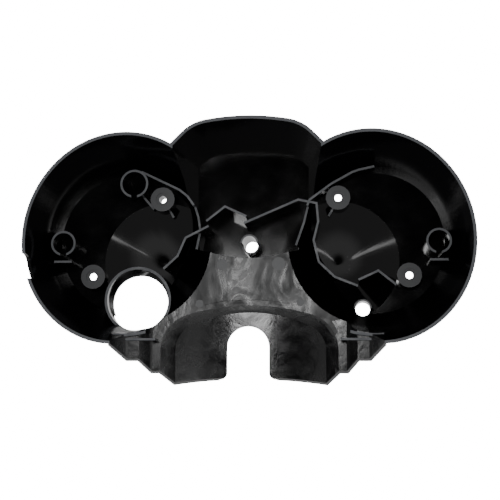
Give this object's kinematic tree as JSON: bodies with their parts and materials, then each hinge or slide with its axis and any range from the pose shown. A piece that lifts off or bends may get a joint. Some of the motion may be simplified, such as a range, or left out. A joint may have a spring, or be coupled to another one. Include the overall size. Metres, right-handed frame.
{
  "type": "gauge housing",
  "caption": "Twin-gauge instrument rear housing: two round bowls, a lamp bay, a deck with lock pocket and U notch, bosses and fences.",
  "frame": {"origin": "on the flat underside of the lamp bay floor, on the middle plane between the two gauge pods, which is also the lowest plane of the part", "axes": "+Z out of the open side, square to the mating rim; +Y from the lock pocket to the lamp bay; +X from the left pod to the right pod"},
  "size_m": [0.2636, 0.1564, 0.056],
  "materials": {
    "housing": "gloss black"
  },
  "bodies": {
    "root": {"gauge_housing": "housing"}
  },
  "joints": []
}
